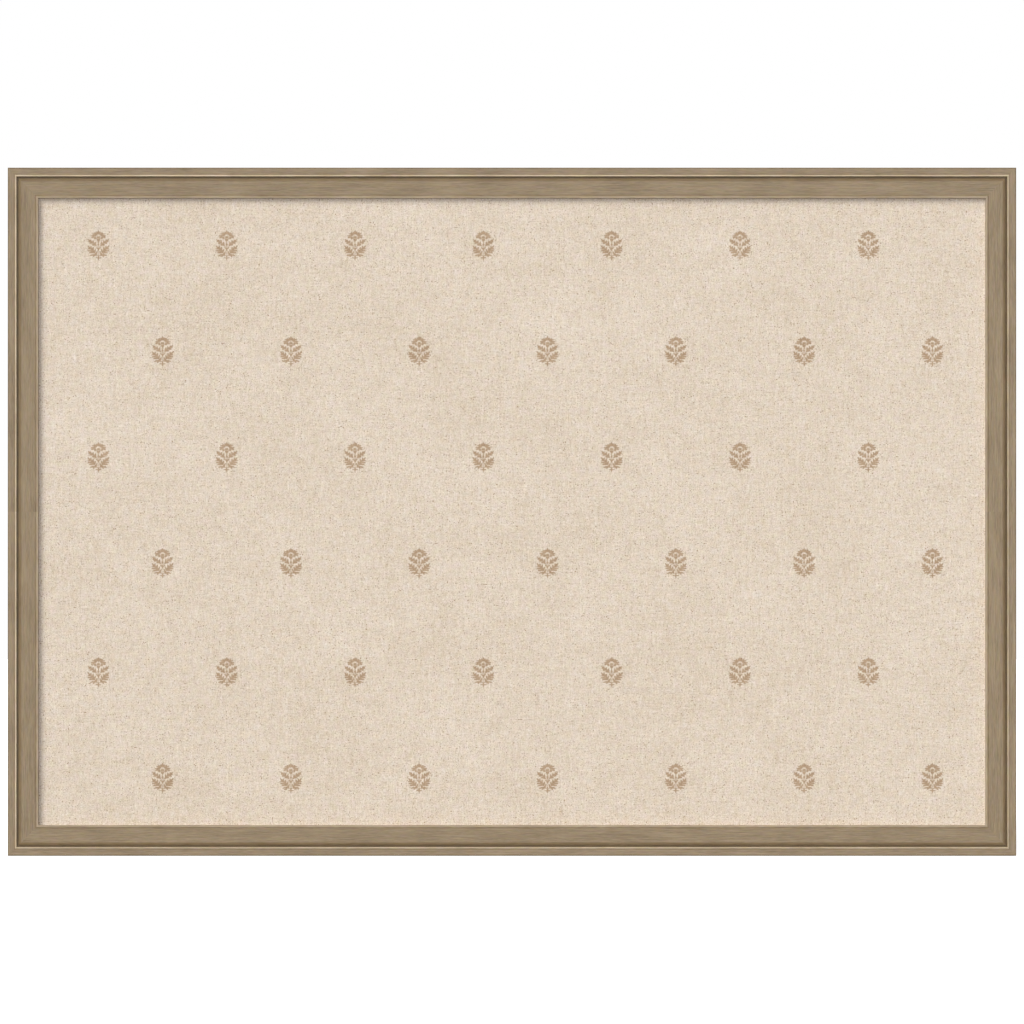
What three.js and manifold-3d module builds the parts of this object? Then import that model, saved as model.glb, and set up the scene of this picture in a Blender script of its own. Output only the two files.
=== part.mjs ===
// Pin board: cork on hardboard, covered in linen, held in a mitred picture moulding that hangs from
// two D-ring strap hangers. Millimetres, with X to the right as seen from the front, Z up and the
// front facing -Y. The origin is the middle of the flat outer face of the bottom edge.
import * as THREE from "three";
import { mergeVertices } from "three/addons/utils/BufferGeometryUtils.js";
import Module from "manifold-3d";

const wasm = await Module();
wasm.setup();

// Covered panel: its outside size with the linen on, and the layers from front to back.
const panelLength = 914.4;
const panelHeight = 609.6;
const coverThickness = 0.7;
const corkThickness = 6;
const hardboardThickness = 3;
const backingThickness = 2.5;
const layerGap = 0.1;
const turnBackWidth = 30;
const backingClearance = 0.4;

// Moulding: the widths across its face from the outer edge to the sight edge, and depths from the
// plane of the outer band.
const outerBandWidth = 6.9;
const beadWidth = 1.8;
const grooveWidth = 1.4;
const coveWidth = 2.6;
const innerBandWidth = 13.2;
const quirkWidth = 0.8;
const lipWidth = 2.4;
const outerEdgeRadius = 0.8;
const beadRise = 0.45;
const grooveDepth = 4;
const coveDepth = 1.8;
const innerBandDepth = 1.2;
const quirkDepth = 0.4;
const lipRise = 0.2;
const lipFall = 0.35;
const ledgeDepth = 6.5;
const lipOverlap = 6.35;
const panelClearance = 0.8;
const backRecess = 3.5;
const mitreGlueLine = 0.02;

// Clearance of a driven or screwed piece in the wood, the gap under a piece that sits on the wood, and
// how far a cutter passes a face.
const cutClearance = 0.15;
const seatGap = 0.05;
const overrun = 1;

// Wedge nails across the mitres, driven from behind.
const nailLeg = 7;
const nailThickness = 0.5;
const nailHeight = 10;
const nailSink = 0.3;
const nailHalfOpening = (50 * Math.PI) / 180;
const nailPlaces = { outer: 8, inner: 18 };

// Flexible tabs that hold the stack in the rabbet.
const tabWidth = 8;
const tabThickness = 0.5;
const tabBite = 9;
const tabReach = 15;
const tabShoulder = 3;
const tabsAlong = 5;
const tabsUp = 4;

// Strap hangers. The drop is from the top edge to the ring's bar, and the strap's length and holes are
// measured from the bar.
const hangerDrop = 160;
const strapWidth = 12.5;
const strapThickness = 0.8;
const strapLength = 50;
const strapFoldGap = 0.15;
const strapShoulder = 4.8;
const ringWire = 2.2;
const ringRunningGap = 0.3;
const ringSideGap = 0.35;
const ringCorner = 2;
const ringLeg = 4;
const ringRestGap = 0.3;
const firstHoleDrop = 22;
const lastHoleInset = 7;
const strapHoleClearance = 0.5;

// Screws of the hangers.
const screwShank = 3.4;
const screwLength = 14;
const screwTip = 3;
const screwHead = 7.4;
const screwHeadRise = 2.1;
const screwHeadEdge = 0.6;
const recessLength = 4;
const recessWidth = 0.9;
const recessDepth = 1.3;

// Soft feet on the back of the bottom corners.
const bumperDiameter = 12;
const bumperHeight = 3;
const bumperRound = 1;
const bumperFromCorner = 36;

// How finely curves are cut.
const curveSteps = 6;
const roundSteps = 24;
const wireSides = 10;
const ringSteps = 72;

// Sizes that follow from the ones above.
const sightLength = panelLength - 2 * lipOverlap;
const sightHeight = panelHeight - 2 * lipOverlap;
const faceWidth =
  outerBandWidth + beadWidth + grooveWidth + coveWidth + innerBandWidth + quirkWidth + lipWidth;
const outerLength = sightLength + 2 * faceWidth;
const outerHeight = sightHeight + 2 * faceWidth;
const rabbetWall = faceWidth - lipOverlap - panelClearance;
const coverDepth = ledgeDepth + layerGap;
const corkDepth = coverDepth + coverThickness + layerGap;
const hardboardDepth = corkDepth + corkThickness + layerGap;
const turnBackDepth = hardboardDepth + hardboardThickness + layerGap;
const backingDepth = turnBackDepth + coverThickness + layerGap;
const tabDepth = backingDepth + backingThickness + layerGap;
const railDepth = tabDepth + tabThickness + backRecess;
const frontPlane = -railDepth / 2;
const backPlane = railDepth / 2;

// A closed surface as a solid that can be cut or joined.
function solidOf(geometry) {
  const bare = geometry.clone();
  bare.deleteAttribute("normal");
  bare.deleteAttribute("uv");
  const merged = mergeVertices(bare);
  return new wasm.Manifold(
    new wasm.Mesh({
      numProp: 3,
      vertProperties: merged.attributes.position.array,
      triVerts: new Uint32Array(merged.index.array),
    }),
  );
}

// The surface of a solid.
function surfaceOf(solid) {
  const mesh = solid.getMesh();
  const geometry = new THREE.BufferGeometry();
  geometry.setAttribute("position", new THREE.BufferAttribute(mesh.vertProperties, mesh.numProp));
  geometry.setIndex(new THREE.BufferAttribute(mesh.triVerts, 1));
  geometry.computeVertexNormals();
  return geometry;
}

// A piece with its holes, slots and recesses taken out.
function cut(geometry, cutters) {
  let solid = solidOf(geometry);
  for (const cutter of cutters) {
    solid = solid.subtract(solidOf(cutter));
  }
  return surfaceOf(solid);
}

// An outline in X and Z made into a plate, from y = 0 forward by its thickness.
function plate(shape, thickness) {
  const options = { depth: thickness, bevelEnabled: false, curveSegments: curveSteps };
  return new THREE.ExtrudeGeometry(shape, options).rotateX(Math.PI / 2);
}

// The outline of a strip of even thickness along a path, square at its ends.
function stripShape(points, thickness) {
  const sideways = points.map((point, i) => {
    const before = points[Math.max(i - 1, 0)];
    const after = points[Math.min(i + 1, points.length - 1)];
    const inward = point.clone().sub(before);
    const outward = after.clone().sub(point);
    const first = (i > 0 ? inward : outward).clone().normalize();
    const last = (i < points.length - 1 ? outward : inward).clone().normalize();
    const along = first.clone().add(last).normalize();
    const stretch = 1 / along.dot(first);
    return new THREE.Vector2(-along.y, along.x).multiplyScalar((stretch * thickness) / 2);
  });
  const left = points.map((point, i) => point.clone().add(sideways[i]));
  const right = points.map((point, i) => point.clone().sub(sideways[i]));
  return new THREE.Shape([...right, ...left.reverse()]);
}

// A round piece turned about Y from a list of radius and height pairs.
function turned(pairs) {
  return new THREE.LatheGeometry(
    pairs.map(([radius, height]) => new THREE.Vector2(radius, height)),
    roundSteps,
  );
}

function material(color, roughness, metalness = 0) {
  return new THREE.MeshStandardMaterial({ color, roughness, metalness });
}

const finishes = {
  moulding: material(0x99876e, 0.55),
  linen: material(0xdfd0bd, 0.95),
  cork: material(0xb98a5a, 0.95),
  hardboard: material(0x6e4a30, 0.8),
  backing: material(0x8c7355, 0.9),
  tabs: material(0x35383b, 0.45, 1),
  steel: material(0xc3c5c6, 0.32, 1),
  nails: material(0x8f9194, 0.4, 1),
  rubber: material(0x4b4138, 0.9),
};

const board = new THREE.Group();

function add(parent, name, geometry, finish) {
  const mesh = new THREE.Mesh(geometry, finish);
  mesh.name = name;
  parent.add(mesh);
  return mesh;
}

// Section of the moulding: x across the face from the outer edge, y the depth behind the front.
function mouldingSection() {
  const beadStart = outerBandWidth;
  const grooveStart = beadStart + beadWidth;
  const coveStart = grooveStart + grooveWidth;
  const innerBandStart = coveStart + coveWidth;
  const quirkStart = innerBandStart + innerBandWidth;
  const lipStart = quirkStart + quirkWidth;
  const lipCrown = innerBandDepth - lipRise;
  const section = new THREE.Shape();
  section.moveTo(0, railDepth);
  section.lineTo(0, outerEdgeRadius);
  section.absarc(outerEdgeRadius, outerEdgeRadius, outerEdgeRadius, Math.PI, 1.5 * Math.PI);
  section.lineTo(beadStart, 0);
  section.quadraticCurveTo(beadStart + beadWidth / 2, -2 * beadRise, grooveStart, 0);
  section.lineTo(grooveStart, grooveDepth);
  section.lineTo(coveStart, grooveDepth);
  section.lineTo(coveStart, coveDepth);
  section.quadraticCurveTo(coveStart + coveWidth / 3, innerBandDepth, innerBandStart, innerBandDepth);
  section.lineTo(quirkStart, innerBandDepth);
  section.lineTo(quirkStart + quirkWidth / 2, innerBandDepth + quirkDepth);
  section.lineTo(lipStart, innerBandDepth);
  section.quadraticCurveTo(lipStart, lipCrown, lipStart + lipWidth / 2, lipCrown);
  section.quadraticCurveTo(faceWidth, lipCrown, faceWidth, innerBandDepth + lipFall);
  section.lineTo(faceWidth, ledgeDepth);
  section.lineTo(rabbetWall, ledgeDepth);
  section.lineTo(rabbetWall, railDepth);
  section.closePath();
  return section.getPoints(curveSteps).slice(0, -1);
}

// A length of moulding along X, its outer face on z = 0 and its ends mitred.
function railSurface(length) {
  const section = mouldingSection();
  const count = section.length;
  const places = [];
  for (const end of [-1, 1]) {
    for (const point of section) {
      const reach = (length - mitreGlueLine) / 2 - point.x;
      places.push(end * reach, frontPlane + point.y, point.x);
    }
  }
  const faces = [];
  for (let i = 0; i < count; i++) {
    const next = (i + 1) % count;
    faces.push(i, count + next, next, i, count + i, count + next);
  }
  for (const [a, b, c] of THREE.ShapeUtils.triangulateShape(section, [])) {
    faces.push(a, b, c, count + a, count + c, count + b);
  }
  const geometry = new THREE.BufferGeometry();
  geometry.setAttribute("position", new THREE.Float32BufferAttribute(places, 3));
  geometry.setIndex(faces);
  return geometry;
}

// A wedge nail, its point towards the outer corner and its crown on y = 0. The slot for it is larger
// all round and runs out of the wood.
function nailSurface(slot = false) {
  const spare = slot ? cutClearance : 0;
  const leg = nailLeg + spare;
  const along = leg * Math.cos(nailHalfOpening);
  const across = leg * Math.sin(nailHalfOpening);
  const line = [
    new THREE.Vector2(along, -across),
    new THREE.Vector2(0, 0),
    new THREE.Vector2(along, across),
  ];
  const top = slot ? nailSink + overrun : 0;
  const height = nailHeight + spare + top;
  return plate(stripShape(line, nailThickness + 2 * spare), height).translate(0, top, 0);
}

// A nail or its slot, put on a mitre that starts at a corner and runs inward.
function onMitre(object, cornerX, cornerZ, inwardX, inwardZ, distance) {
  const step = distance / Math.SQRT2;
  object.position.set(cornerX + inwardX * step, backPlane - nailSink, cornerZ + inwardZ * step);
  object.rotation.y = Math.atan2(-inwardZ, inwardX);
  return object;
}

// A flexible tab seen from behind: a point that bites into the rabbet wall and a round free end.
// z = 0 is the rabbet wall.
function tabShape(spare = 0) {
  const half = tabWidth / 2 + spare;
  const shape = new THREE.Shape();
  shape.moveTo(0, -tabBite - spare);
  shape.lineTo(half, -tabShoulder - spare);
  shape.lineTo(half, tabReach - tabWidth / 2);
  shape.absarc(0, tabReach - tabWidth / 2, half, 0, Math.PI);
  shape.lineTo(-half, -tabShoulder - spare);
  shape.closePath();
  return shape;
}

// Places of the tabs along a side, spread evenly over its sight edge.
function tabPlaces(sight, count) {
  return Array.from({ length: count }, (_, i) => sight * ((i + 0.5) / count - 0.5));
}

// Strap hangers, one on the back of each side rail.
const strapStack = 2 * strapThickness + strapFoldGap;
const boreRadius = ringWire / 2 + ringRunningGap;
const barRise = boreRadius + strapThickness;
const barHeight = outerHeight - hangerDrop;
const hangerCentres = { left: -outerLength / 2 + rabbetWall / 2, right: outerLength / 2 - rabbetWall / 2 };
const screwHeights = {
  upper: barHeight - firstHoleDrop,
  lower: barHeight - (strapLength - lastHoleInset),
};
const screwReach = screwLength - strapStack - 2 * seatGap;

// Holes in the wood for the screws of the hanger on one side.
function pilotHoles(sideName, group) {
  if (!(sideName in hangerCentres)) {
    return [];
  }
  const radius = screwShank / 2 + cutClearance;
  const length = screwReach + cutClearance + overrun;
  return Object.values(screwHeights).map((height) => {
    const mouth = group.worldToLocal(new THREE.Vector3(hangerCentres[sideName], backPlane, height));
    return new THREE.CylinderGeometry(radius, radius, length, roundSteps).translate(
      mouth.x,
      backPlane + overrun - length / 2,
      mouth.z,
    );
  });
}

const across = { length: outerLength, sight: sightLength, tabs: tabsAlong };
const up = { length: outerHeight, sight: sightHeight, tabs: tabsUp };
const sides = [
  { name: "bottom", ...across, turn: 0, x: 0, z: 0 },
  { name: "top", ...across, turn: Math.PI, x: 0, z: outerHeight },
  { name: "left", ...up, turn: Math.PI / 2, x: -outerLength / 2, z: outerHeight / 2 },
  { name: "right", ...up, turn: -Math.PI / 2, x: outerLength / 2, z: outerHeight / 2 },
];

// One side of the frame: its rail and the tabs in the rabbet wall.
function frameSide(side) {
  const group = new THREE.Group();
  group.position.set(side.x, 0, side.z);
  group.rotation.y = side.turn;
  group.updateMatrixWorld();
  board.add(group);

  const cutters = pilotHoles(side.name, group);
  for (const end of [-1, 1]) {
    for (const distance of Object.values(nailPlaces)) {
      const slot = onMitre(new THREE.Mesh(nailSurface(true)), (end * side.length) / 2, 0, -end, 1, distance);
      slot.updateMatrix();
      cutters.push(slot.geometry.applyMatrix4(slot.matrix));
    }
  }
  const tabBack = frontPlane + tabDepth + tabThickness;
  tabPlaces(side.sight, side.tabs).forEach((place, i) => {
    const slot = plate(tabShape(cutClearance), tabThickness + 2 * cutClearance);
    cutters.push(slot.translate(place, tabBack + cutClearance, rabbetWall));
    const tab = add(group, `tab_${side.name}_${i + 1}`, plate(tabShape(), tabThickness), finishes.tabs);
    tab.position.set(place, tabBack, rabbetWall);
  });
  add(group, `rail_${side.name}`, cut(railSurface(side.length), cutters), finishes.moulding);
}

sides.forEach(frameSide);

// Wedge nails, two in each mitre.
for (const [vertical, cornerZ, inwardZ] of [
  ["bottom", 0, 1],
  ["top", outerHeight, -1],
]) {
  for (const [horizontal, side] of [
    ["left", -1],
    ["right", 1],
  ]) {
    for (const [place, distance] of Object.entries(nailPlaces)) {
      const name = `v_nail_${vertical}_${horizontal}_${place}`;
      const nail = add(board, name, nailSurface(), finishes.nails);
      onMitre(nail, (side * outerLength) / 2, cornerZ, -side, inwardZ, distance);
    }
  }
}

// A flat sheet of the stack, centred on the board.
function sheet(name, length, height, depth, thickness, finish) {
  const mesh = add(board, name, new THREE.BoxGeometry(length, thickness, height), finish);
  mesh.position.set(0, frontPlane + depth + thickness / 2, outerHeight / 2);
}

const wrap = 2 * (coverThickness + layerGap);
const coreLength = panelLength - wrap;
const coreHeight = panelHeight - wrap;
sheet("cork_sheet", coreLength, coreHeight, corkDepth, corkThickness, finishes.cork);
sheet("hardboard_panel", coreLength, coreHeight, hardboardDepth, hardboardThickness, finishes.hardboard);

const backingLength = panelLength + 2 * (panelClearance - backingClearance);
const backingHeight = panelHeight + 2 * (panelClearance - backingClearance);
sheet("backing_board", backingLength, backingHeight, backingDepth, backingThickness, finishes.backing);

// The linen: over the front, round the four edges, and turned back behind the hardboard.
function fabricCover() {
  const depth = turnBackDepth + coverThickness - coverDepth;
  const hollowDepth = depth - 2 * coverThickness;
  const outside = new THREE.BoxGeometry(panelLength, depth, panelHeight);
  const hollow = new THREE.BoxGeometry(
    panelLength - 2 * coverThickness,
    hollowDepth,
    panelHeight - 2 * coverThickness,
  );
  const window = new THREE.BoxGeometry(
    panelLength - 2 * turnBackWidth,
    depth,
    panelHeight - 2 * turnBackWidth,
  ).translate(0, depth / 2, 0);
  const mesh = add(board, "fabric_cover", cut(outside, [hollow, window]), finishes.linen);
  mesh.position.set(0, frontPlane + coverDepth + depth / 2, outerHeight / 2);
}

fabricCover();

// The strap: one strip folded round the ring's bar, both layers screwed to the wood. The origin is on
// the wood under the bar.
function strapSurface() {
  const middle = boreRadius + strapThickness / 2;
  const lower = strapThickness / 2;
  const upper = strapThickness + strapFoldGap + strapThickness / 2;
  const turnEnd = 0.75 * Math.PI;
  const leaveX = middle * Math.cos(turnEnd);
  const leaveY = barRise + middle * Math.sin(turnEnd);
  const fold = new THREE.Path();
  fold.moveTo(-strapLength, lower);
  fold.lineTo(0, lower);
  fold.absarc(0, barRise, middle, -Math.PI / 2, turnEnd);
  fold.quadraticCurveTo(leaveX - (leaveY - upper), upper, -strapShoulder, upper);
  fold.lineTo(-strapLength, upper);
  const options = { depth: strapWidth, bevelEnabled: false };
  const folded = new THREE.ExtrudeGeometry(
    stripShape(fold.getPoints(2 * curveSteps), strapThickness),
    options,
  )
    .rotateY(-Math.PI / 2)
    .translate(strapWidth / 2, 0, 0);

  // Plan of the strap: square at the fold, round at the free end.
  const half = strapWidth / 2;
  const plan = new THREE.Shape();
  plan.moveTo(half, barRise + overrun);
  plan.lineTo(-half, barRise + overrun);
  plan.lineTo(-half, -strapLength + half);
  plan.absarc(0, -strapLength + half, half, Math.PI, 2 * Math.PI);
  plan.closePath();
  const height = 2 * barRise + 2 * overrun;
  const rounded = solidOf(folded).intersect(solidOf(plate(plan, height).translate(0, height - overrun, 0)));

  const holeRadius = screwShank / 2 + strapHoleClearance;
  const holes = Object.values(screwHeights).map((place) =>
    new THREE.CylinderGeometry(holeRadius, holeRadius, height, roundSteps).translate(
      0,
      strapStack / 2,
      place - barHeight,
    ),
  );
  return cut(surfaceOf(rounded), holes);
}

// The path of the ring's wire, its bar on X and the rest hanging down.
class RingPath extends THREE.Curve {
  constructor() {
    super();
    const half = strapWidth / 2 + ringSideGap + ringCorner;
    this.line = new THREE.Path();
    this.line.moveTo(0, 0);
    this.line.lineTo(half - ringCorner, 0);
    this.line.absarc(half - ringCorner, -ringCorner, ringCorner, Math.PI / 2, 0, true);
    this.line.lineTo(half, -ringLeg);
    this.line.absarc(0, -ringLeg, half, 0, -Math.PI, true);
    this.line.lineTo(-half, -ringCorner);
    this.line.absarc(-half + ringCorner, -ringCorner, ringCorner, Math.PI, Math.PI / 2, true);
    this.line.lineTo(0, 0);
    this.reach = half + ringLeg;
  }

  getPoint(share, target = new THREE.Vector3()) {
    const point = this.line.getPoint(share);
    return target.set(point.x, 0, point.y);
  }
}

// A screw with its seat on y = 0 and its head towards +Y.
function screwSurface() {
  const shank = screwShank / 2;
  const head = screwHead / 2;
  const domeRise = screwHeadRise - screwHeadEdge;
  const dome = Array.from({ length: curveSteps }, (_, i) => {
    const angle = ((i + 1) / curveSteps) * (Math.PI / 2);
    return [i + 1 === curveSteps ? 0 : head * Math.cos(angle), screwHeadEdge + domeRise * Math.sin(angle)];
  });
  const body = turned([
    [0, -screwLength],
    [shank, -screwLength + screwTip],
    [shank, 0],
    [head, 0],
    [head, screwHeadEdge],
    ...dome,
  ]);
  const floor = screwHeadRise - recessDepth;
  const height = recessDepth + overrun;
  const slots = [
    new THREE.BoxGeometry(recessLength, height, recessWidth),
    new THREE.BoxGeometry(recessWidth, height, recessLength),
  ].map((slot) => slot.translate(0, floor + height / 2, 0));
  return cut(body, slots);
}

function strapHanger(name, centreX) {
  const hanger = new THREE.Group();
  hanger.position.set(centreX, backPlane + seatGap, barHeight);
  board.add(hanger);
  add(hanger, `strap_${name}`, strapSurface(), finishes.steel);

  // The ring hangs down and leans on the strap.
  const path = new RingPath();
  const tube = new THREE.TubeGeometry(path, ringSteps, ringWire / 2, wireSides, true);
  const ring = add(hanger, `ring_${name}`, tube, finishes.steel);
  ring.position.y = barRise;
  ring.rotation.x = Math.asin((strapStack + ringWire / 2 + ringRestGap - barRise) / path.reach);

  for (const [place, height] of Object.entries(screwHeights)) {
    const screw = add(hanger, `screw_${name}_${place}`, screwSurface(), finishes.steel);
    screw.position.set(0, strapStack + seatGap, height - barHeight);
  }
}

for (const [name, centreX] of Object.entries(hangerCentres)) {
  strapHanger(name, centreX);
}

// Bumpers, flat where they meet the wall.
for (const [name, side] of [
  ["left", -1],
  ["right", 1],
]) {
  const radius = bumperDiameter / 2;
  const round = Array.from({ length: curveSteps + 1 }, (_, i) => {
    const angle = (i / curveSteps) * (Math.PI / 2);
    return [
      radius - bumperRound + bumperRound * Math.cos(angle),
      bumperHeight - bumperRound + bumperRound * Math.sin(angle),
    ];
  });
  const foot = turned([[0, 0], [radius, 0], ...round, [0, bumperHeight]]);
  const bumper = add(board, `bumper_${name}`, foot, finishes.rubber);
  bumper.position.set(side * (outerLength / 2 - bumperFromCorner), backPlane + seatGap, rabbetWall / 2);
}

export default board;
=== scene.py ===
import math

import bmesh
import bpy
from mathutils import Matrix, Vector


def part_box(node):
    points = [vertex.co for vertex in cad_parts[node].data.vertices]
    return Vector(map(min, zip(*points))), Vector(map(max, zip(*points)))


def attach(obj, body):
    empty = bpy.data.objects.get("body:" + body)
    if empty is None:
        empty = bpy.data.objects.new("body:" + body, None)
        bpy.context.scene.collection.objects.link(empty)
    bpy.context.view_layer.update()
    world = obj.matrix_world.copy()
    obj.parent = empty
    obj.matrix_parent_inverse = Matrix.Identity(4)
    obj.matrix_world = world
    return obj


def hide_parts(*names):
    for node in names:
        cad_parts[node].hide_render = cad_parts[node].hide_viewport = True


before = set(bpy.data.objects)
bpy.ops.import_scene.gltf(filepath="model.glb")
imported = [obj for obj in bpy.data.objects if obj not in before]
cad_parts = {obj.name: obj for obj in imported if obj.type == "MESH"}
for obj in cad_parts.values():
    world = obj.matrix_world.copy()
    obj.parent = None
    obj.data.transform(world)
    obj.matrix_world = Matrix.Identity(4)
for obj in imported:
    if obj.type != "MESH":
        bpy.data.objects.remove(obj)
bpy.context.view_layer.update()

# Pin board: the finish of every piece of the frame, the linen as a modelled sheet, and a plain studio.
# Metres, with the board's front facing -Y.

MM = 0.001

# The moulding's outside and back, taken from the CAD pieces.
rail_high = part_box("rail_bottom")[1]
outer_half = rail_high.x
back_plane = rail_high.y
middle_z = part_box("rail_top")[1].z / 2

# Its section: the width of its face, how far in the rabbet's wall lies, the plane of the flat bands,
# and that of the ledge that the linen lies against.
FACE_WIDTH = 29.1 * MM
RABBET_DISTANCE = 21.95 * MM
BAND_PLANE = -12.0 * MM
LEDGE_PLANE = -5.5 * MM


# Camera: square on, from a distance at which the perspective is as slight as in the photograph.
LENS = 250.0
SENSOR = 36.0
VIEW_WIDTH = 0.9747
VIEW_DISTANCE = VIEW_WIDTH * LENS / SENSOR
VIEW_REACH = 100.0
CAMERA_DROP = 0.00023

camera_data = bpy.data.cameras.new("camera")
camera_data.lens = LENS
camera_data.sensor_width = SENSOR
camera_data.clip_end = VIEW_REACH
camera = bpy.data.objects.new("camera", camera_data)
camera.location = (0.0, BAND_PLANE - VIEW_DISTANCE, middle_z - CAMERA_DROP)
camera.rotation_euler = (math.radians(90), 0.0, 0.0)
bpy.context.scene.collection.objects.link(camera)
bpy.context.scene.camera = camera
bpy.context.scene.view_settings.view_transform = "Standard"


# Light: a wide soft key from the upper left, a narrow fill along the view, one from behind for the
# back, and one for the side that the key leaves in the shade.
KEY_COLOUR = (1.0, 0.98, 0.94)
FILL_COLOUR = (0.91, 0.94, 1.0)
LAMP_DISTANCE = 3.0


def sun(name, towards, strength, spread, colour=(1.0, 1.0, 1.0), glossy=True):
    """A sun whose light comes from where towards points, from a disc as wide as spread in degrees."""
    data = bpy.data.lights.new(name, "SUN")
    data.energy = strength
    data.angle = math.radians(spread)
    data.color = colour
    lamp = bpy.data.objects.new(name, data)
    lamp.rotation_mode = "QUATERNION"
    lamp.rotation_quaternion = Vector(towards).to_track_quat("Z", "Y")
    lamp.location = Vector(towards).normalized() * LAMP_DISTANCE
    lamp.visible_glossy = glossy
    bpy.context.scene.collection.objects.link(lamp)


sun("key", (-0.75, -1.0, 0.75), 2.575, 42, KEY_COLOUR)
sun("fill", (0.02, -1.0, 0.04), 1.05, 4, FILL_COLOUR)
sun("back_key", (0.35, 1.0, 0.3), 3.0, 32, glossy=False)
sun("side_fill", (1.0, 0.3, 0.15), 1.3, 20, glossy=False)


# Node graphs, with the shader's maths written as sums.
class Signal:
    """An output socket that takes part in sums."""

    def __init__(self, graph, socket):
        self.graph = graph
        self.socket = socket

    def __add__(self, other):
        return self.graph.math("ADD", self, other)

    __radd__ = __add__

    def __sub__(self, other):
        return self.graph.math("SUBTRACT", self, other)

    def __rsub__(self, other):
        return self.graph.math("SUBTRACT", other, self)

    def __mul__(self, other):
        return self.graph.math("MULTIPLY", self, other)

    __rmul__ = __mul__

    def __truediv__(self, other):
        return self.graph.math("DIVIDE", self, other)

    def __abs__(self):
        return self.graph.math("ABSOLUTE", self)


class Graph:
    """A material's node tree."""

    def __init__(self, name):
        self.material = bpy.data.materials.new(name)
        self.material.use_nodes = True
        self.tree = self.material.node_tree
        self.tree.nodes.clear()

    def node(self, kind, **settings):
        made = self.tree.nodes.new(kind)
        for key, value in settings.items():
            setattr(made, key, value)
        return made

    def feed(self, socket, value):
        if isinstance(value, Signal):
            self.tree.links.new(value.socket, socket)
        else:
            socket.default_value = value

    def math(self, operation, *values):
        made = self.node("ShaderNodeMath", operation=operation)
        for socket, value in zip(made.inputs, values):
            self.feed(socket, value)
        return Signal(self, made.outputs[0])

    def position(self):
        """The place on the piece at rest, in metres."""
        made = self.node("ShaderNodeTexCoord")
        split = self.node("ShaderNodeSeparateXYZ")
        self.tree.links.new(made.outputs["Object"], split.inputs[0])
        return [Signal(self, split.outputs[i]) for i in range(3)]

    def vector(self, x, y, z):
        made = self.node("ShaderNodeCombineXYZ")
        for socket, value in zip(made.inputs, (x, y, z)):
            self.feed(socket, value)
        return Signal(self, made.outputs[0])

    def noise(self, x, y, z, detail=1.0, roughness=0.5):
        """Smooth noise from 0 to 1 about 0.5, with features about 1 across."""
        made = self.node("ShaderNodeTexNoise")
        self.feed(made.inputs["Vector"], self.vector(x, y, z))
        made.inputs["Scale"].default_value = 1.0
        made.inputs["Detail"].default_value = detail
        made.inputs["Roughness"].default_value = roughness
        return Signal(self, made.outputs["Fac"])

    def grain(self, x, y, z):
        """A value from 0 to 1 for each cell, drawn at random."""
        made = self.node("ShaderNodeTexWhiteNoise")
        self.feed(made.inputs["Vector"], self.vector(x, y, z))
        return Signal(self, made.outputs["Value"])

    def floor(self, value):
        return self.math("FLOOR", value)

    def between(self, value, low, high):
        """0 at low, 1 at high, and straight between them."""
        made = self.node("ShaderNodeMapRange")
        for socket, given in zip(made.inputs, (value, low, high)):
            self.feed(socket, given)
        return Signal(self, made.outputs[0])

    def above(self, value, limit):
        return self.math("GREATER_THAN", value, limit)

    def below(self, value, limit):
        return self.math("LESS_THAN", value, limit)

    def least(self, first, second):
        return self.math("MINIMUM", first, second)

    def most(self, first, second):
        return self.math("MAXIMUM", first, second)

    def balance(self, *parts):
        """Signals about 0.5, each with its share, added up to one signal about 0.5."""
        total = 0.5
        for signal, share in parts:
            total = total + (signal - 0.5) * share
        return total

    def mix(self, share, first, second):
        """From the first colour to the second."""
        made = self.node("ShaderNodeMix", data_type="RGBA")
        self.feed(made.inputs[0], share)
        self.feed(made.inputs[6], first)
        self.feed(made.inputs[7], second)
        return Signal(self, made.outputs[2])

    def product(self, first, second):
        """One colour seen through the other."""
        made = self.node("ShaderNodeVectorMath", operation="MULTIPLY")
        self.feed(made.inputs[0], first)
        self.feed(made.inputs[1], second)
        return Signal(self, made.outputs[0])

    def scaled(self, colour, amount):
        """The colour, brighter or darker by a factor."""
        made = self.node("ShaderNodeVectorMath", operation="SCALE")
        self.feed(made.inputs[0], colour if isinstance(colour, Signal) else colour[:3])
        self.feed(made.inputs["Scale"], amount)
        return Signal(self, made.outputs[0])

    def ramp(self, value, band_stops_and_painted_light):
        made = self.node("ShaderNodeValToRGB")
        elements = made.color_ramp.elements
        while len(elements) < len(band_stops_and_painted_light):
            elements.new(1.0)
        for element, (place, colour) in zip(elements, band_stops_and_painted_light):
            element.position = place
            element.color = colour
        self.feed(made.inputs[0], value)
        return Signal(self, made.outputs[0])

    def bump(self, height, strength=1.0):
        """Relief from a height in metres."""
        made = self.node("ShaderNodeBump")
        made.inputs["Strength"].default_value = strength
        made.inputs["Distance"].default_value = 1.0
        self.feed(made.inputs["Height"], height)
        return Signal(self, made.outputs[0])

    def finish(self, **values):
        """Ends the graph in one Principled shader."""
        shader = self.node("ShaderNodeBsdfPrincipled")
        for name, value in values.items():
            self.feed(shader.inputs[name.replace("_", " ")], value)
        output = self.node("ShaderNodeOutputMaterial")
        self.tree.links.new(shader.outputs[0], output.inputs[0])
        return self.material


def rgb(red, green, blue):
    """A colour given in the usual 0 to 255, as the shader's linear light by the sRGB curve."""
    def linear(value):
        share = value / 255
        return share / 12.92 if share <= 0.04045 else ((share + 0.055) / 1.055) ** 2.4

    return (linear(red), linear(green), linear(blue), 1.0)


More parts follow.
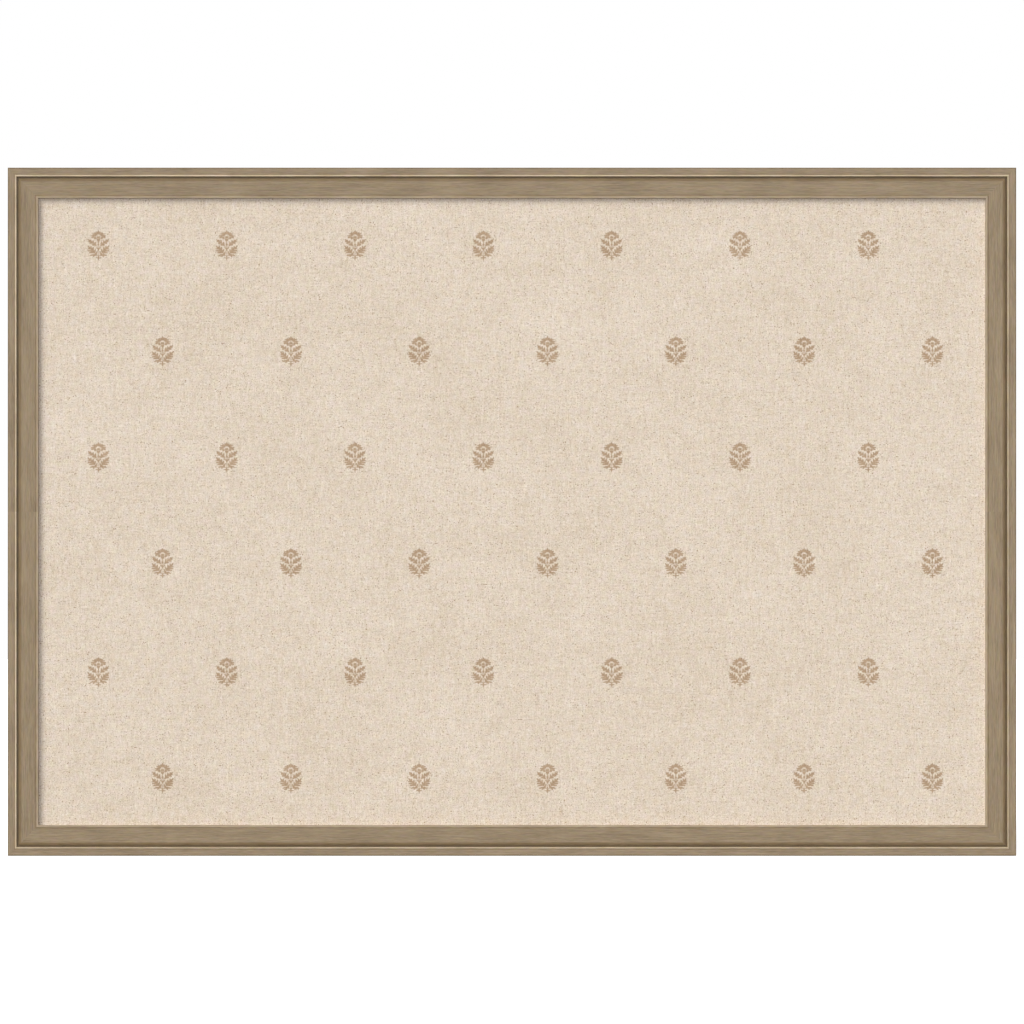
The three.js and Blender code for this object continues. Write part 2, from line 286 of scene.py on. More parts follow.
# The studio: white all round for the camera and for reflections, dim for the light it gives.
world = bpy.data.worlds.new("studio")
bpy.context.scene.world = world
world.use_nodes = True
WORLD_LIGHT = (0.128, 0.13, 0.136, 1.0)
WHITE = (1.0, 1.0, 1.0, 1.0)


def seen_directly(tree):
    """1 for rays that show the surroundings themselves, and 0 for the light they give."""
    path = tree.nodes.new("ShaderNodeLightPath")
    total = path.outputs["Is Camera Ray"]
    for name in ("Is Glossy Ray", "Is Transmission Ray"):
        largest = tree.nodes.new("ShaderNodeMath")
        largest.operation = "MAXIMUM"
        tree.links.new(total, largest.inputs[0])
        tree.links.new(path.outputs[name], largest.inputs[1])
        total = largest.outputs[0]
    return total


def build_world():
    tree = world.node_tree
    tree.nodes.clear()
    dim = tree.nodes.new("ShaderNodeBackground")
    dim.inputs["Color"].default_value = WORLD_LIGHT
    white = tree.nodes.new("ShaderNodeBackground")
    white.inputs["Color"].default_value = WHITE
    mixed = tree.nodes.new("ShaderNodeMixShader")
    tree.links.new(seen_directly(tree), mixed.inputs[0])
    tree.links.new(dim.outputs[0], mixed.inputs[1])
    tree.links.new(white.outputs[0], mixed.inputs[2])
    output = tree.nodes.new("ShaderNodeOutputWorld")
    tree.links.new(mixed.outputs[0], output.inputs[0])


build_world()

FLOOR_HALF = 9.0
FLOOR_CORNERS = ((-1, -1), (1, -1), (1, 1), (-1, 1))
FLOOR_SEEN = (0.95, 0.95, 0.95, 1.0)
FLOOR_BOUNCE = (0.2, 0.2, 0.2, 1.0)
FLOOR_GLOW = 0.55


def build_floor():
    mesh = bpy.data.meshes.new("floor")
    corners = [(x * FLOOR_HALF, y * FLOOR_HALF, 0.0) for x, y in FLOOR_CORNERS]
    mesh.from_pydata(corners, [], [(0, 1, 2, 3)])
    floor = bpy.data.objects.new("floor", mesh)
    bpy.context.scene.collection.objects.link(floor)
    graph = Graph("floor")
    tree = graph.tree
    seen = Signal(graph, seen_directly(tree))
    diffuse = graph.node("ShaderNodeBsdfDiffuse")
    graph.feed(diffuse.inputs["Color"], graph.mix(seen, FLOOR_BOUNCE, FLOOR_SEEN))
    glow = graph.node("ShaderNodeEmission")
    graph.feed(glow.inputs["Strength"], seen * FLOOR_GLOW)
    total = graph.node("ShaderNodeAddShader")
    tree.links.new(diffuse.outputs[0], total.inputs[0])
    tree.links.new(glow.outputs[0], total.inputs[1])
    output = graph.node("ShaderNodeOutputMaterial")
    tree.links.new(total.outputs[0], output.inputs[0])
    mesh.materials.append(graph.material)


build_floor()


# Moulding: brushed taupe, whose tones run in bands along the rails, with raw wood behind. Each tone has
# its place across the face, in millimetres from the outside.
# The tones hold painted shade on the rounded outer edge, in the groove and down the cove, painted light in
# the quirk before the lip, and painted highlights on the bead and the inner lip.
BAND_TONES_AND_PAINTED_LIGHT = [
    # Painted shade on the rounded outer edge, darkest at the outside.
    (0.0, (120, 103, 79)),
    (0.7, (136, 119, 95)),
    (1.3, (154, 137, 113)),
    (3.5, (150, 133, 110)),
    (5.9, (150, 133, 110)),
    (6.4, (134, 116, 92)),
    (6.7, (134, 116, 92)),
    # Paler rubbed-through paint on the bead, with a painted highlight on it.
    (6.95, (202, 185, 159)),
    (8.1, (202, 185, 159)),
    # Painted shade in the groove beside the bead.
    (8.5, (134, 115, 88)),
    (9.6, (134, 115, 88)),
    # Painted shade down the cove, easing back to the band's tone.
    (10.2, (140, 122, 97)),
    (11.2, (134, 117, 93)),
    (12.2, (133, 115, 91)),
    (12.9, (144, 126, 102)),
    (13.5, (150, 133, 109)),
    (25.6, (150, 133, 109)),
    # Painted light in the quirk before the lip, lifting it above the band's tone.
    (26.0, (162, 145, 121)),
    (27.5, (159, 142, 118)),
    # Painted highlight on the inner lip and on its wall down to the linen.
    (27.8, (177, 160, 137)),
    (28.6, (175, 158, 135)),
    (28.8, (173, 156, 133)),
    (29.1, (173, 156, 133)),
]

# The tone of the rails' outer sides, which starts a little behind the face.
SIDE_TONE = (150, 132, 107)
SIDE_DEPTH = 0.3 * MM
SIDE_START = 0.9 * MM
SIDE_FULL = 1.6 * MM

# Light that the satin paint adds by reflection, which its own colour leaves out.
SATIN_SHARE = 0.045
LEAST_TONE = 0.01

# How far brush marks and worn patches reach along a rail, and rings and pores in the wood behind.
LONG_STREAK = 45 * MM
FINE_STREAK = 9 * MM
PATCH = 42 * MM
RING_LENGTH = 160 * MM
PORE_LENGTH = 5 * MM

# How strong the patches are, and what the outer band adds to that.
PATCH_SHARE = 0.66
OUTER_PATCH_SHARE = 0.2
OUTER_BAND = 6.4 * MM

# How far ahead of the rabbet's faces and of the back the raw wood starts.
RABBET_MARGIN = 0.02 * MM
BACK_MARGIN = 0.05 * MM

# The two ends of the brushing, of each tint and of the wood.
BRUSHED_DARK = (0.67, 0.63, 0.57, 1.0)
BRUSHED_LIGHT = (1.33, 1.37, 1.43, 1.0)
PAINT_ROSY = ((0.93, 1.042, 0.99, 1.0), (1.07, 0.958, 1.01, 1.0))
PAINT_WARM = ((0.98, 0.978, 1.2, 1.0), (1.02, 1.022, 0.8, 1.0))
WOOD_DARK = (190, 160, 118)
WOOD_LIGHT = (216, 190, 148)


def paint(*tone):
    red, green, blue, opaque = rgb(*tone)
    return (red - SATIN_SHARE, green - SATIN_SHARE, max(blue - SATIN_SHARE, LEAST_TONE), opaque)


def moulding_material():
    graph = Graph("moulding")
    x, y, z = graph.position()
    from_side = outer_half - abs(x)
    from_end = middle_z - abs(z - middle_z)
    edge = graph.least(from_side, from_end)
    upright = graph.above(from_end, from_side)
    run = x * (1 - upright) + z * upright
    seed = upright * 7.3 + graph.above(x, 0.0) * upright * 3.1 + graph.above(z, middle_z) * 5.7
    across = edge / MM
    depth = y / MM

    # The ramp lays these tones across the face, painted shade and painted highlights included.
    band_stops_and_painted_light = [(place * MM / FACE_WIDTH, paint(*tone)) for place, tone in BAND_TONES_AND_PAINTED_LIGHT]
    tones_and_painted_light = graph.ramp(edge / FACE_WIDTH, band_stops_and_painted_light)
    long_streaks = graph.noise(run / LONG_STREAK, across * 1.3, depth * 1.3 + seed, 2.0, 0.6)
    fine_streaks = graph.noise(run / FINE_STREAK, across * 1.9 + seed, depth * 1.9, 2.0, 0.6)
    patches = graph.noise(run / PATCH, across / 11 + seed, depth / 11)
    patch_share = graph.below(edge, OUTER_BAND) * OUTER_PATCH_SHARE + PATCH_SHARE
    level = graph.balance((long_streaks, 0.9), (fine_streaks, 1.4), (patches, patch_share))
    brushed = graph.mix(level, BRUSHED_DARK, BRUSHED_LIGHT)
    rosy = graph.noise(run / FINE_STREAK + 40.0, across / 2.5, seed)
    warm = graph.noise(run / FINE_STREAK, across / 2.5 + 40.0, seed)
    tint = graph.product(graph.mix(rosy, *PAINT_ROSY), graph.mix(warm, *PAINT_WARM))
    turned = graph.between(y, BAND_PLANE + SIDE_START, BAND_PLANE + SIDE_FULL)
    on_side = turned * graph.below(edge, SIDE_DEPTH)
    tones_and_painted_light = graph.mix(on_side, tones_and_painted_light, paint(*SIDE_TONE))
    painted = graph.product(graph.product(tones_and_painted_light, brushed), tint)

    rings = graph.noise(run / RING_LENGTH, across / 1.1 + seed, depth / 1.1, 3.0, 0.55)
    pores = graph.noise(run / PORE_LENGTH, across * 3.4, depth * 3.4 + seed)
    wood = graph.mix(graph.between(rings, 0.3, 0.7), rgb(*WOOD_DARK), rgb(*WOOD_LIGHT))
    wood = graph.scaled(wood, 1.0 - graph.between(pores, 0.6, 0.72) * 0.18)
    behind_lip = graph.above(y, LEDGE_PLANE - RABBET_MARGIN)
    in_rabbet = graph.above(edge, RABBET_DISTANCE - RABBET_MARGIN) * behind_lip
    raw = graph.most(in_rabbet, graph.above(y, back_plane - BACK_MARGIN))

    height = (long_streaks * 0.05 + fine_streaks * 0.06 + pores * raw * 0.06) * MM
    return graph.finish(
        Base_Color=graph.mix(raw, painted, wood),
        Roughness=graph.between(raw + (fine_streaks - 0.5) * 0.3, 0.0, 1.0) * 0.3 + 0.42,
        Normal=graph.bump(height),
        Specular_IOR_Level=0.22,
    )


# Linen: plain weave with uneven yarn, a few dark flecks, and small sprigs printed in rows, each row half
# a step aside from the last. Below the seam line of the repeat the sprigs lie a little lower. The yarns
# and flecks are in millimetres.
YARN = 0.6
YARN_WANDER = 1.6
FLECK = 1.15
LINEN_FRONT = 0.5 * MM
LINEN_DARK = (195.2, 174.7, 145.9)
LINEN_LIGHT = (250.6, 239.1, 226.7)
LINEN_ROSY = ((0.962, 1.021, 0.997, 1.0), (1.038, 0.979, 1.003, 1.0))
LINEN_WARM = ((0.989, 0.988, 1.1, 1.0), (1.011, 1.012, 0.9, 1.0))
FLECK_TONE = (152, 116, 82)
INK_DARK = (139, 110, 79)
INK_LIGHT = (206, 178, 149)
SPRIG_COLUMNS = 7
SPRIG_ROWS = 6
SPRIG_FIRST_X = -394.04 * MM
SPRIG_STEP_X = 122.25 * MM
SPRIG_FIRST_Z = 582.15 * MM
SPRIG_STEP_Z = 100.9 * MM
SEAM_Z = 237.0 * MM
SEAM_EXTRA = 3.1 * MM

# Half of a sprig, as convex pieces in millimetres from its middle: petals, calyx and stem, the teeth of
# the upper and the lower leaf, and the foot. The wash is the paler ink between them.
SPRIG = [
    [(-0.8, 12.0), (0.0, 13.7), (0.7, 12.6), (1.6, 11.0), (1.4, 9.5), (-1.0, 9.6)],
    [(0.5, 11.9), (1.9, 12.4), (2.3, 11.2), (2.6, 8.4), (2.2, 8.3), (1.2, 9.4)],
    [(2.6, 11.4), (3.9, 11.8), (4.2, 10.5), (3.9, 8.0), (2.2, 8.2), (2.2, 9.8)],
    [(3.6, 10.8), (6.0, 10.5), (6.1, 10.0), (4.8, 9.6), (3.2, 9.4)],
    [(3.0, 9.5), (4.6, 9.2), (7.3, 8.6), (7.3, 7.9), (5.2, 7.6), (2.8, 7.9)],
    [(4.0, 7.7), (6.2, 7.5), (7.0, 6.8), (6.6, 5.9), (4.2, 6.5)],
    [(2.6, 7.6), (3.9, 7.7), (4.3, 6.3), (3.9, 5.2), (3.2, 4.9), (2.1, 5.5)],
    [(-1.0, 7.8), (0.9, 7.8), (1.5, 7.0), (1.5, 6.0), (-1.0, 5.9)],
    [(-1.0, 5.7), (1.7, 5.5), (1.5, 4.2), (0.6, 3.0), (-1.0, 2.8)],
    [(1.4, 5.9), (2.6, 6.1), (2.4, 5.6), (1.4, 5.4)],
    [(-0.3, 3.4), (0.3, 3.4), (0.35, -1.6), (-0.35, -1.6)],
    [(-1.0, 0.2), (0.0, 1.3), (1.0, 0.2), (0.8, -0.6), (0.0, -1.1), (-0.8, -0.6)],
    [(2.3, -2.5), (2.3, -3.3), (0.4, -4.6), (-0.6, -4.4), (-0.6, -3.4)],
    [(-0.7, -3.6), (0.7, -3.6), (0.7, -5.2), (0.2, -6.1), (-0.7, -5.8)],
    [(6.9, 4.7), (9.4, 4.5), (9.5, 2.5), (8.0, 2.2), (6.4, 2.2)],
    [(9.8, 5.4), (10.1, 4.9), (9.2, 3.9), (8.2, 4.1), (8.8, 4.7)],
    [(6.6, 3.4), (7.4, 2.8), (6.3, 1.2), (4.2, 0.6), (4.4, 1.8)],
    [(4.7, 4.0), (5.4, 4.0), (6.0, 2.6), (5.0, 1.2), (4.2, 1.4)],
    [(2.5, 2.9), (3.3, 2.7), (4.1, 1.2), (4.6, -0.7), (2.4, -1.0), (2.1, 0.6)],
    [(2.0, 0.2), (3.8, -0.9), (1.9, -1.9), (1.7, -1.3)],
    [(4.0, 0.8), (5.9, 0.6), (5.9, -0.8), (4.0, -1.1), (3.2, -0.6)],
    [(6.6, 2.4), (8.4, 1.9), (8.4, 0.8), (6.6, 0.6), (5.8, 1.4)],
    [(9.7, -0.8), (10.4, -1.2), (9.7, -2.6), (8.0, -2.9), (8.4, -2.0)],
    [(6.8, -1.9), (9.3, -2.3), (9.7, -3.9), (7.4, -4.6), (6.4, -3.6)],
    [(6.8, -1.3), (7.5, -1.4), (8.0, -2.6), (6.6, -2.8), (6.6, -2.0)],
    [(7.2, -3.6), (10.8, -4.1), (10.6, -4.4), (7.4, -4.8)],
    [(6.4, -3.4), (7.6, -4.2), (6.9, -5.4), (5.6, -6.0), (4.9, -5.4), (5.5, -4.2)],
    [(6.4, -5.1), (9.8, -5.3), (10.2, -6.4), (6.0, -6.7)],
    [(4.6, -2.4), (5.4, -2.4), (6.0, -4.0), (6.0, -5.6), (4.4, -5.6), (4.4, -3.6)],
    [(4.6, -5.2), (6.2, -5.8), (6.4, -7.2), (5.4, -8.2), (3.4, -8.3), (2.9, -7.4), (3.4, -6.2)],
    [(5.4, -6.8), (8.5, -7.1), (9.1, -8.3), (5.2, -8.3)],
    [(2.6, -4.3), (3.3, -4.3), (4.0, -5.8), (4.0, -6.8), (2.7, -7.0), (2.5, -5.4)],
    [(1.0, -6.3), (1.9, -6.6), (2.4, -7.6), (2.9, -8.8), (2.8, -9.8), (1.8, -9.8), (1.0, -7.3)],
    [(2.2, -7.8), (3.4, -8.0), (3.6, -9.2), (2.6, -10.0), (1.9, -9.8)],
    [(2.4, -9.2), (4.4, -9.1), (5.6, -9.6), (5.2, -10.3), (3.0, -10.5), (1.6, -10.2)],
    [(4.2, -9.1), (6.4, -9.4), (8.1, -10.3), (7.8, -10.9), (4.6, -10.5)],
    [(2.9, -9.9), (4.8, -10.0), (5.4, -11.4), (4.8, -12.0), (3.9, -11.4)],
    [(1.2, -10.3), (1.8, -9.6), (3.4, -9.8), (3.4, -10.7), (1.6, -10.7)],
    [(-0.6, -10.6), (0.5, -10.6), (0.6, -12.3), (0.6, -13.8), (0.0, -15.4), (-0.6, -13.8)],
    [(-1.3, -10.3), (1.3, -10.3), (1.0, -11.0), (-1.0, -11.0)],
    [(0.0, -12.2), (2.6, -12.3), (2.8, -12.9), (0.0, -13.3)],
]
WASH = [
    [(-1.0, 8.3), (1.2, 8.2), (2.0, 7.4), (2.4, 6.2), (2.2, 5.2), (-1.0, 5.2)],
    [(-1.0, 0.4), (0.5, 0.0), (1.6, -1.6), (1.9, -2.6), (0.0, -3.8), (-1.0, -3.6)],
    [(-1.0, -6.0), (0.4, -6.2), (0.8, -8.0), (0.8, -9.4), (0.6, -10.0), (-1.0, -10.0)],
]
WASH_SHARE = 0.42
INK_SOFTNESS = (-0.3, 0.2)


def sprig_mask(graph, x, z):
    """1 inside a sprig, 0 outside, and soft over a fraction of a yarn."""
    lowered = z + graph.below(z, SEAM_Z) * SEAM_EXTRA
    row = graph.math("ROUND", (SPRIG_FIRST_Z - lowered) / SPRIG_STEP_Z)
    row = graph.least(graph.most(row, 0.0), SPRIG_ROWS - 1.0)
    shift = graph.math("MODULO", row, 2.0) * (SPRIG_STEP_X / 2) + SPRIG_FIRST_X
    column = graph.math("ROUND", (x - shift) / SPRIG_STEP_X)
    column = graph.least(graph.most(column, 0.0), SPRIG_COLUMNS - 1.0)
    aside = abs(x - shift - column * SPRIG_STEP_X) / MM
    height = (lowered - SPRIG_FIRST_Z + row * SPRIG_STEP_Z) / MM

    place = graph.vector(aside, height, 1.0)
    solid = graph.between(depth_inside(graph, place, SPRIG), *INK_SOFTNESS)
    pale = graph.between(depth_inside(graph, place, WASH), *INK_SOFTNESS)
    return graph.most(solid, pale * WASH_SHARE)


def depth_inside(graph, place, pieces):
    """How far a place lies inside the nearest of the convex pieces, and less than 0 outside them."""
    inside = None
    for points in pieces:
        piece = None
        centre_x = sum(p[0] for p in points) / len(points)
        centre_z = sum(p[1] for p in points) / len(points)
        for (ax, az), (bx, bz) in zip(points, points[1:] + points[:1]):
            length = math.hypot(bx - ax, bz - az)
            normal_x, normal_z = (az - bz) / length, (bx - ax) / length
            offset = -(normal_x * ax + normal_z * az)
            if normal_x * centre_x + normal_z * centre_z + offset < 0:
                normal_x, normal_z, offset = -normal_x, -normal_z, -offset
            side = graph.node("ShaderNodeVectorMath", operation="DOT_PRODUCT")
            graph.feed(side.inputs[0], place)
            side.inputs[1].default_value = (normal_x, normal_z, offset)
            distance = Signal(graph, side.outputs["Value"])
            piece = distance if piece is None else graph.least(piece, distance)
        inside = piece if inside is None else graph.most(inside, piece)
    return inside


def linen_material():
    graph = Graph("linen")
    x, y, z = graph.position()
    beyond = graph.most(y - (LEDGE_PLANE + LINEN_FRONT), 0.0)
    along = x + graph.math("SIGN", x) * beyond
    up = z + graph.math("SIGN", z - middle_z) * beyond
    u = along / MM
    v = up / MM

    # The yarns wander a little, so their rows aren't ruled lines.
    wander_u = (graph.noise(u / 30, v / 9, 3.0) - 0.5) * YARN_WANDER
    wander_v = (graph.noise(u / 9, v / 30, 8.0) - 0.5) * YARN_WANDER
    warp = (u + wander_u) / YARN
    weft = (v + wander_v) / YARN
    warp_row = graph.floor(warp)
    weft_row = graph.floor(weft)
    warp_side = graph.math("SINE", warp * math.pi)
    weft_side = graph.math("SINE", weft * math.pi)
    crossing = graph.math("MODULO", abs(warp_row + weft_row), 2.0)
    warp_round = abs(warp_side)
    weft_round = abs(weft_side)
    painted_yarn_rounding = crossing * warp_round + (1 - crossing) * weft_round

    # Where a warp yarn lies on top its tone shows, and elsewhere the tone of the weft.
    warp_tone = graph.noise(warp_row * 7.7, v / 4, 11.0)
    weft_tone = graph.noise(u / 4, weft_row * 7.7, 23.0)
    yarn_tone = crossing * warp_tone + (1 - crossing) * weft_tone
    cell = graph.grain(warp_row, weft_row, 1.0)
    warp_slub = graph.noise(warp_row * 5.3, v / 12, 14.0)
    weft_slub = graph.noise(u / 18, weft_row * 5.3, 27.0)
    band = graph.noise(u / 1.8, v / 60, 17.0)
    blotch = graph.noise(u / 26, v / 26, 5.0)
    drift = graph.noise(u / 110, v / 110, 2.0)
    strays = graph.between(graph.noise(u / 5, v / 5, 33.0, 0.0), 0.4, 0.65)
    # A dark fleck lies within its own yarn, so it ends where that yarn dives under the next.
    fleck_u = crossing * (warp_row + 0.5) * YARN + (1 - crossing) * u
    fleck_v = crossing * v + (1 - crossing) * (weft_row + 0.5) * YARN
    flecks = graph.noise(fleck_u / FLECK, fleck_v / FLECK, 31.0, 0.0)
    flecks = graph.between(flecks, 0.67, 0.74) * (0.3 + strays * 0.7)
    rosy = graph.noise(u / 7, v / 7, 41.0, 2.0)
    warm = graph.noise(u / 7, v / 7, 57.0, 2.0)

    level = graph.balance(
        (yarn_tone, 0.65),
        (cell, 0.43),
        (warp_slub, 0.52),
        (weft_slub, 0.38),
        (band, 0.14),
        (blotch, 0.17),
        (drift, 0.16),
    )
    # Painted shade and highlight: each yarn is lighter on its crown and darker where it curves under the
    # next.
    level = level + (painted_yarn_rounding - 0.6) * 0.19
    cloth = graph.mix(level, rgb(*LINEN_DARK), rgb(*LINEN_LIGHT))
    cloth = graph.product(graph.product(cloth, graph.mix(rosy, *LINEN_ROSY)), graph.mix(warm, *LINEN_WARM))
    cloth = graph.mix(flecks, cloth, rgb(*FLECK_TONE))
    mask = sprig_mask(graph, along + (yarn_tone - 0.5) * 0.4 * MM, up + (cell - 0.5) * 0.3 * MM)
    ink = mask * (0.95 + (cell - 0.5) * 0.4)
    inked = graph.mix(level, rgb(*INK_DARK), rgb(*INK_LIGHT))
    colour = graph.mix(graph.least(ink, 1.0), cloth, inked)

    height = warp_round * weft_round * (0.1 + yarn_tone * 0.1 + cell * 0.03) * MM
    return graph.finish(
        Base_Color=colour,
        Roughness=0.95,
        Normal=graph.bump(height, 0.2),
        Specular_IOR_Level=0.1,
        Sheen_Weight=0.05,
        Sheen_Roughness=0.5,
    )


# The plain materials of the stack and the hardware.
CORK_GRAIN = 2.2 * MM
RUBBER_GRAIN = 0.5 * MM
RUBBER_DUST = 3 * MM
FIBRE_TURNS = (17, 77, 137)


def cork_material():
    graph = Graph("cork")
    x, y, z = graph.position()
    grains = graph.node("ShaderNodeTexVoronoi")
    graph.feed(grains.inputs["Vector"], graph.vector(x / CORK_GRAIN, y / CORK_GRAIN, z / CORK_GRAIN))
    grains.inputs["Scale"].default_value = 1.0
    split = graph.node("ShaderNodeSeparateColor")
    graph.tree.links.new(grains.outputs["Color"], split.inputs[0])
    tone = Signal(graph, split.outputs[0])
    dark = graph.above(tone, 0.93)
    seam = graph.between(Signal(graph, grains.outputs["Distance"]), 0.5, 0.75)
    colour = graph.mix(tone, rgb(176, 128, 80), rgb(202, 158, 106))
    colour = graph.mix(dark, colour, rgb(104, 66, 38))
    colour = graph.scaled(colour, 1.0 - seam * 0.25)
    return graph.finish(
        Base_Color=colour,
        Roughness=0.85,
        Normal=graph.bump((1 - seam) * 0.12 * MM),
    )


def fibre_material(name, dark, light, gloss):
    """Pressed wood fibre: fine mottling, with short fibres lying every way and a few dark flecks."""
    graph = Graph(name)
    x, y, z = graph.position()
    u = x / MM
    v = z / MM
    w = y / MM
    bend = (graph.noise(u / 6, v / 6, w / 6) - 0.5) * 3
    fibres = None
    for turn in FIBRE_TURNS:
        cosine = math.cos(math.radians(turn))
        sine = math.sin(math.radians(turn))
        along = u * cosine + v * sine
        aside = v * cosine - u * sine + bend
        strand = graph.between(graph.noise(along / 3.5, aside / 0.45, w / 0.6 + turn), 0.55, 0.78)
        fibres = strand if fibres is None else graph.most(fibres, strand)
    mottle = graph.noise(u / 1.6, v / 1.6, w / 1.6 + 9.0, 3.0, 0.6)
    cloud = graph.noise(u / 90, v / 90, w, 2.0)
    flecks = graph.between(graph.noise(u / 1.4, v / 0.9, w + 20.0), 0.68, 0.78)
    share = graph.between(mottle * 0.7 + fibres * 0.25 + cloud * 0.2, 0.25, 0.85)
    colour = graph.scaled(graph.mix(share, dark, light), 1.0 - flecks * 0.3)
    return graph.finish(
        Base_Color=colour,
        Roughness=mottle * 0.2 + gloss,
        Normal=graph.bump((fibres * 0.06 + mottle * 0.05) * MM),
        Specular_IOR_Level=0.3,
    )


def steel_material(name, colour, shine):
    """Plated or blued sheet and wire: faint draw lines, cloudy plating and a little wear."""
    graph = Graph(name)
    x, y, z = graph.position()
    u = x / MM
    v = z / MM
    w = y / MM
    lines = graph.noise(u * 4, v / 5, w * 4, 2.0, 0.6)
    cloud = graph.noise(u / 4, v / 4, w / 4, 2.0)
    spots = graph.between(graph.noise(u / 0.7, v / 0.7, w / 0.7), 0.66, 0.78)
    level = 0.9 + (lines - 0.5) * 0.12 + (cloud - 0.5) * 0.3 - spots * 0.15
    return graph.finish(
        Base_Color=graph.scaled(colour, level),
        Metallic=1.0,
        Roughness=shine + (cloud - 0.5) * 0.25 + spots * 0.15,
        Normal=graph.bump((lines * 0.012 + cloud * 0.02) * MM),
    )


def rubber_material():
    graph = Graph("rubber")
    x, y, z = graph.position()
    fine = graph.noise(x / RUBBER_GRAIN, y / RUBBER_GRAIN, z / RUBBER_GRAIN, 2.0)
    dust = graph.noise(x / RUBBER_DUST, y / RUBBER_DUST, z / RUBBER_DUST, 2.0)
    colour = graph.mix(graph.between(dust, 0.35, 0.7), rgb(66, 56, 48), rgb(92, 82, 73))
    return graph.finish(
        Base_Color=colour,
        Roughness=0.55 + (fine - 0.5) * 0.3,
        Normal=graph.bump(fine * 0.03 * MM),
    )


# Each piece's finish, by the first word of its name.
finishes = {
    "rail": moulding_material(),
    "cork": cork_material(),
    "hardboard": fibre_material("hardboard", rgb(84, 56, 36), rgb(128, 90, 60), 0.5),
    "backing": fibre_material("backing", rgb(120, 96, 68), rgb(168, 141, 106), 0.7),
    "tab": steel_material("tab_steel", rgb(74, 78, 84), 0.4),
    "v": steel_material("nail_steel", rgb(150, 152, 156), 0.42),
    "strap": steel_material("hanger_steel", rgb(158, 158, 156), 0.34),
    "ring": steel_material("ring_steel", rgb(170, 170, 169), 0.26),
    "screw": steel_material("screw_steel", rgb(164, 163, 159), 0.3),
    "bumper": rubber_material(),
}

for name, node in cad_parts.items():
    kind = name.split("_")[0]
    if kind in finishes:
        for slot in node.material_slots:
            slot.material = finishes[kind]


# Linen sheet: the front, the wrapped edges and the turned-back border as one closed cloth.
COVER_THICKNESS = 0.62 * MM
TURN_BACK = 30 * MM
EDGE_ROUND = 2.4 * MM
CORNER_ROUND = 2.0 * MM
FRONT_STEP = 6.0 * MM
EDGE_LINES = (0.0, 0.7 * MM, 1.5 * MM, 3.0 * MM)
ROUND_STEPS = 5
BORDER_SHARES = (0.1, 0.4, 0.7, 1.0)
RIPPLE = 0.02 * MM


def grid_lines(half):
    """Places across the front: close together at the edges, even in between."""
    flat = half - EDGE_ROUND
    even = flat - EDGE_LINES[-1]
    count = round(2 * even / FRONT_STEP)
    inner = [-even + 2 * even * i / count for i in range(1, count)]
    return [-flat + line for line in EDGE_LINES] + inner + [flat - line for line in reversed(EDGE_LINES)]


def ripple(x, z):
    """The slight waviness of cloth pulled over cork."""
    waves = (
        math.sin(x * 41 + 1.3 * math.sin(z * 17)),
        math.sin(z * 53 + 1.1 * math.sin(x * 23) + 2),
        math.sin((x + z) * 29 + 0.5),
    )
    return RIPPLE * sum(waves)


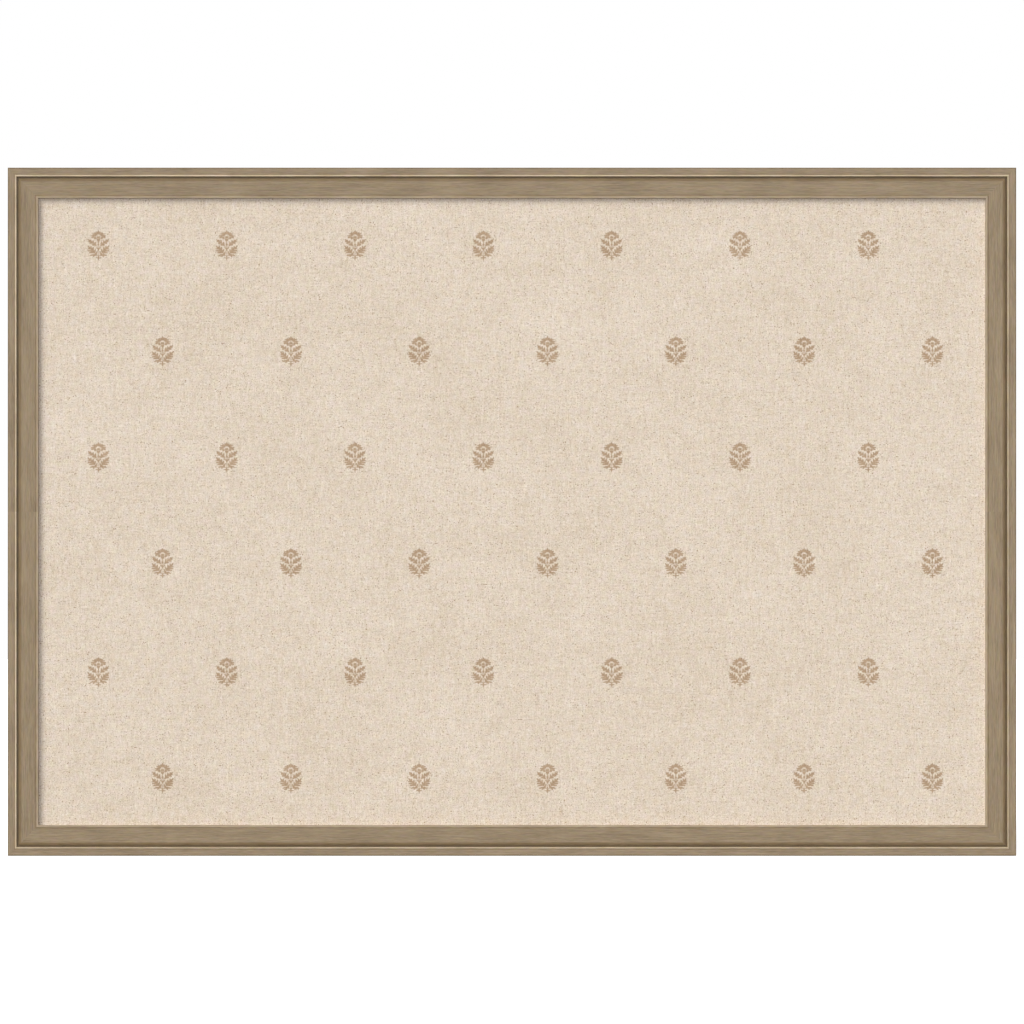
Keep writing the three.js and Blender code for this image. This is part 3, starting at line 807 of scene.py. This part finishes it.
def build_linen():
    low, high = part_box("fabric_cover")
    half_x = (high.x - low.x) / 2
    half_z = (high.z - low.z) / 2
    xs = grid_lines(half_x)
    zs = grid_lines(half_z)
    made = bmesh.new()

    def ring_profile(offset):
        """Steps outward from the front's flat to the turned-back border: growth and depth."""
        radius = EDGE_ROUND - offset
        steps = []
        for i in range(1, ROUND_STEPS + 1):
            angle = math.pi / 2 * i / ROUND_STEPS
            steps.append((radius * math.sin(angle), low.y + EDGE_ROUND - radius * math.cos(angle)))
        for i in range(ROUND_STEPS + 1):
            angle = math.pi / 2 * i / ROUND_STEPS
            steps.append((radius * math.cos(angle), high.y - EDGE_ROUND + radius * math.sin(angle)))
        for share in BORDER_SHARES:
            steps.append((-(TURN_BACK - EDGE_ROUND) * share, high.y - offset))
        return steps

    def border(columns, rows):
        """Grid indices round the front's edge, in order."""
        below = [(i, 0) for i in range(columns)]
        right = [(columns - 1, j) for j in range(1, rows)]
        above = [(i, rows - 1) for i in range(columns - 2, -1, -1)]
        left = [(0, j) for j in range(rows - 2, 0, -1)]
        return below + right + above + left

    def softened(x, z, grow):
        """A point of a ring that has grown outwards, with the ring's corners rounded."""
        limit_x = half_x - EDGE_ROUND
        limit_z = half_z - EDGE_ROUND
        px = x * (limit_x + grow) / limit_x
        pz = z * (limit_z + grow) / limit_z
        dx = abs(px) - (limit_x + grow - CORNER_ROUND)
        dz = abs(pz) - (limit_z + grow - CORNER_ROUND)
        if dx > 0 and dz > 0:
            pull = max(dx, dz) / math.hypot(dx, dz)
            px = math.copysign(limit_x + grow - CORNER_ROUND + dx * pull, px)
            pz = math.copysign(limit_z + grow - CORNER_ROUND + dz * pull, pz)
        return px, pz

    def layer(offset):
        """One side of the cloth: its faces, and the vertices of its last ring."""
        grid = {}
        for i, x in enumerate(xs):
            for j, z in enumerate(zs):
                px, pz = softened(x, z, 0.0)
                grid[i, j] = made.verts.new((px, low.y + offset + ripple(x, z), middle_z + pz))
        faces = []
        for i in range(len(xs) - 1):
            for j in range(len(zs) - 1):
                faces.append([grid[i, j], grid[i + 1, j], grid[i + 1, j + 1], grid[i, j + 1]])
        indices = border(len(xs), len(zs))
        previous = [grid[index] for index in indices]
        for grow, depth in ring_profile(offset):
            ring = []
            for i, j in indices:
                px, pz = softened(xs[i], zs[j], grow)
                ring.append(made.verts.new((px, depth, middle_z + pz)))
            for k in range(len(ring)):
                following = (k + 1) % len(ring)
                faces.append([previous[k], ring[k], ring[following], previous[following]])
            previous = ring
        return faces, previous

    outer_faces, outer_end = layer(0.0)
    inner_faces, inner_end = layer(COVER_THICKNESS)
    for face in outer_faces:
        made.faces.new(face)
    for face in inner_faces:
        made.faces.new(reversed(face))
    for k in range(len(outer_end)):
        following = (k + 1) % len(outer_end)
        made.faces.new([outer_end[k], inner_end[k], inner_end[following], outer_end[following]])
    bmesh.ops.recalc_face_normals(made, faces=made.faces)
    mesh = bpy.data.meshes.new("linen_cover")
    made.to_mesh(mesh)
    made.free()
    mesh.shade_smooth()
    mesh.materials.append(linen_material())
    linen = bpy.data.objects.new("linen_cover", mesh)
    bpy.context.scene.collection.objects.link(linen)

    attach(linen, "root")
    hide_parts("fabric_cover")
    round_saving = (2 - math.pi / 2) * EDGE_ROUND * 2
    wrap = 2 * (high.y - low.y + TURN_BACK - round_saving)
    flat = (2 * half_x + wrap - 4 * COVER_THICKNESS, 2 * half_z + wrap - 4 * COVER_THICKNESS)
    corner = (TURN_BACK + high.y - low.y) ** 2
    flat[0] * flat[1] - 4 * corner


build_linen()
